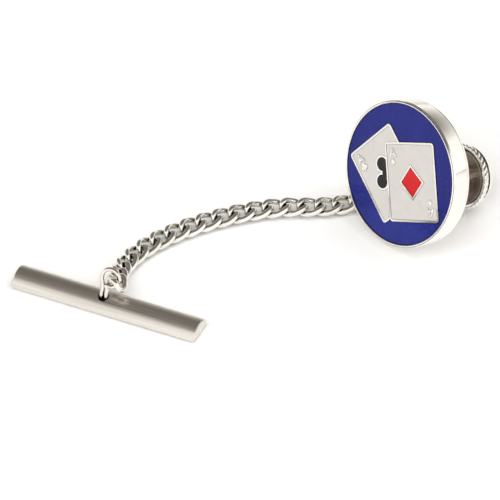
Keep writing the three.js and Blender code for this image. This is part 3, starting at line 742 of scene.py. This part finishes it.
def collar_ring():
    away = Vector((-math.cos(COLLAR_RING_SWING), -math.sin(COLLAR_RING_SWING), 0))
    middle = Vector((-LUG_REACH, 0, COLLAR_MIDDLE)) + away * COLLAR_RING_RADIUS
    around = []
    for i in range(72):
        angle = ROUND * i / 72
        around.append(middle + COLLAR_RING_RADIUS * (
            away * math.cos(angle) + Vector((0, 0, math.sin(angle)))))
    wire = tube(around, COLLAR_RING_WIRE, 16, closed=True)
    piece("collar_ring", wire, CLUTCH, "ring", LINK, "polished", "collar_ring")


# ---- chain ----

def chain_link():
    """An oval of wire along X, twisted about X so that its two ends lie across each other."""
    squared = lambda share: math.copysign(abs(share) ** LINK_POWER, share)
    path, leans = [], []
    for i in range(64):
        angle = ROUND * i / 64
        twist = Matrix.Rotation(LINK_TWIST * math.cos(angle), 3, "X")
        path.append(twist @ Vector((
            LINK_HALF_LENGTH * squared(math.cos(angle)), LINK_HALF_WIDTH * squared(math.sin(angle)), 0)))
        leans.append(twist @ Vector((0, 0, 1)))
    return tube(path, LINK_WIRE, 16, closed=True, leans=leans)


def chain_places():
    names = [f"link_{i:02d}_{'lift' if i % 2 else 'yaw'}" for i in range(1, LINKS + 1)] + ["bar_yaw"]
    pivots = [millimetres(JOINTS[name]["pos_m"]) for name in names]
    for i in range(LINKS):
        along = (pivots[i + 1] - pivots[i]).normalized()
        across = Vector((0, 0, 1)).cross(along).normalized()
        share = min(1, i / LEAN_LINKS)
        lean = FIRST_LINK_LEAN + (LINK_LEAN - FIRST_LINK_LEAN) * share
        across = Matrix.Rotation(lean, 3, along) @ across
        yield place_of(along, across, along.cross(across), (pivots[i] + pivots[i + 1]) / 2)


def chain():
    for i, place in enumerate(chain_places(), 1):
        name = f"chain_link_{i:02d}"
        piece(name, chain_link(), place, f"link_{i:02d}", LINK, "link_metal", name)


# ---- bar ----

def bar_section(inset, count=48):
    """The half-round section, `inset` in from its outline all round."""
    width, height = BAR_HALF_WIDTH - inset, BAR_HEIGHT - 2 * inset
    corners = [(math.cos(math.pi * i / count) * width, inset + math.sin(math.pi * i / count) * height)
               for i in range(count + 1)]
    rounded = [(y, z, 0.12 if i in (0, count) else 0) for i, (y, z) in enumerate(corners)]
    return filleted(rounded, 4)


def t_bar():
    rings = []
    half = BAR_LENGTH / 2
    ends = [(half - BAR_ROUNDING * (1 - math.sin(a)), BAR_ROUNDING * (1 - math.cos(a)))
            for a in (math.pi / 2 * i / 5 for i in range(5, -1, -1))]
    for x, inset in [(-x, inset) for x, inset in ends] + ends[::-1]:
        rings.append([Vector((x, y, z)) for y, z in bar_section(inset)])
    hole = moved(prism(disc(BAR_HOLE_RADIUS, 48), -1, 4), Matrix.Translation(BAR_HOLE))
    shape = softened(combined(skin(rings), "DIFFERENCE", hole), 0.05, 3, 50)
    piece("t_bar", shape, BAR, "bar", SATIN, "satin", "t_bar")


def eye_point(aside, up):
    lean = EYE_LEAN if up > 0 else 0
    return BAR_HOLE + Vector((aside, up * math.sin(lean), BAR_HEIGHT + up * math.cos(lean)))


def curve_through(points, steps=7):
    """A centripetal Catmull-Rom curve through the points."""
    ends = [2 * points[0] - points[1]] + points + [2 * points[-1] - points[-2]]
    path = []
    for before, start, end, after in zip(ends, ends[1:], ends[2:], ends[3:]):
        a, b, c = ((q - p).length ** 0.5 for p, q in ((before, start), (start, end), (end, after)))
        out = ((start - before) / a - (end - before) / (a + b) + (end - start) / b) * b
        into = ((end - start) / b - (after - start) / (b + c) + (after - end) / c) * b
        for step in range(steps):
            t = step / steps
            path.append(start + out * t + (3 * (end - start) - 2 * out - into) * t ** 2
                        + (2 * (start - end) + out + into) * t ** 3)
    return path + [points[-1]]


def bar_eye():
    foot_up = EYE_FOOT / 2 - BAR_HEIGHT
    points = [eye_point(-EYE_LEG, up) for up in (foot_up, -0.3, 0.25, EYE_LOOP_HEIGHT / 2)]
    for i in range(EYE_LOOP_STEPS + 1):
        angle = EYE_LOOP_START + EYE_LOOP_TURN * i / EYE_LOOP_STEPS
        aside = EYE_LOOP_ASIDE + EYE_LOOP_RADIUS * math.cos(angle)
        points.append(eye_point(aside, EYE_LOOP_HEIGHT + EYE_LOOP_RADIUS * math.sin(angle)))
    points.append(eye_point(EYE_LEG, EYE_LOOP_HEIGHT - EYE_LOOP_RADIUS - 0.3))
    points += [eye_point(EYE_LEG, up) for up in (0.25, -0.3, foot_up)]
    wire = tube(curve_through(points), EYE_WIRE, 18)
    foot = turned([(0, 0.03, 0), (0.57, 0.03, 0.03), (0.57, EYE_FOOT, 0.06), (0, EYE_FOOT, 0)], 48)
    shape = combined(wire, "UNION", moved(foot, Matrix.Translation(BAR_HOLE)))
    piece("bar_eye", shape, BAR, "bar", EYE, "polished", "bar_eye")


# ---- stage ----

def floor():
    made = Nodes("paper", Roughness=0.8, Specular_IOR_Level=0.2)
    made.to("Base Color", made.colours(
        made.noise(40, 3), (0.4, (0.955, 0.955, 0.955)), (0.6, (0.965, 0.965, 0.965))))
    mesh = bpy.data.meshes.new("floor")
    mesh.from_pydata([(-3, -3, 0), (3, -3, 0), (3, 3, 0), (-3, 3, 0)], [], [(0, 1, 2, 3)])
    mesh.materials.append(made.material)
    obj = bpy.data.objects.new("floor", mesh)
    obj.location.z = cad_box[0].z - FLOOR_DROP
    bpy.context.collection.objects.link(obj)


def lamp(name, place, size, power):
    """A large soft lamp over the object, too high up to be mirrored in it."""
    light = bpy.data.lights.new(name, "AREA")
    light.shape, light.size, light.energy = "DISK", size, power
    obj = bpy.data.objects.new(name, light)
    obj.location = place
    obj.rotation_euler = (-Vector(place)).to_track_quat("-Z", "Y").to_euler()
    obj.visible_glossy = False
    bpy.context.collection.objects.link(obj)


def surroundings():
    """A room that is bright in front and at the sides, and dark behind and overhead."""
    world = bpy.data.worlds.new("studio")
    bpy.context.scene.world = world
    world.use_nodes = True
    tree = world.node_tree
    sky = tree.nodes["Background"]
    place = tree.nodes.new("ShaderNodeTexCoord")
    height = tree.nodes.new("ShaderNodeVectorMath")
    height.operation = "DOT_PRODUCT"
    height.inputs[1].default_value = (-0.1, 0.4, 1)
    ramp = tree.nodes.new("ShaderNodeValToRGB")
    stops = (
        (0.0, (1.0, 0.98, 0.95)), (0.46, (0.95, 0.92, 0.88)),
        (0.64, (0.2, 0.18, 0.16)), (1.0, (0.15, 0.14, 0.125)))
    while len(ramp.color_ramp.elements) < len(stops):
        ramp.color_ramp.elements.new(0.5)
    for element, (position, colour) in zip(ramp.color_ramp.elements, stops):
        element.position = position
        element.color = (*colour, 1)
    tree.links.new(place.outputs["Generated"], height.inputs[0])
    tree.links.new(height.outputs["Value"], ramp.inputs["Fac"])
    tree.links.new(ramp.outputs["Color"], sky.inputs["Color"])
    sky.inputs["Strength"].default_value = 1.2


def camera():
    """Looks down at the object from its front, at the photograph's angle."""
    elevation = math.radians(41)
    target = Vector((-0.00041, 0.00113, 0))
    data = bpy.data.cameras.new("camera")
    data.sensor_width, data.lens = 36, 403
    data.clip_start, data.clip_end = 0.01, 10
    obj = bpy.data.objects.new("camera", data)
    distance = 0.6
    obj.location = target + distance * Vector((0, -math.cos(elevation), math.sin(elevation)))
    obj.rotation_euler = (target - obj.location).to_track_quat("-Z", "Y").to_euler()
    bpy.context.collection.objects.link(obj)
    bpy.context.scene.camera = obj


head_shell()
enamels()
marks()
back_plate()
post()
clutch_pieces()
cap_pieces()
swivel_collar()
collar_ring()
chain()
t_bar()
bar_eye()
floor()
surroundings()
lamp("key", (-0.15, -0.3, 0.5), 0.5, 2.0)
lamp("fill", (0.25, 0.05, 0.5), 0.4, 1.1)
bpy.context.scene.view_settings.view_transform = "Standard"
camera()
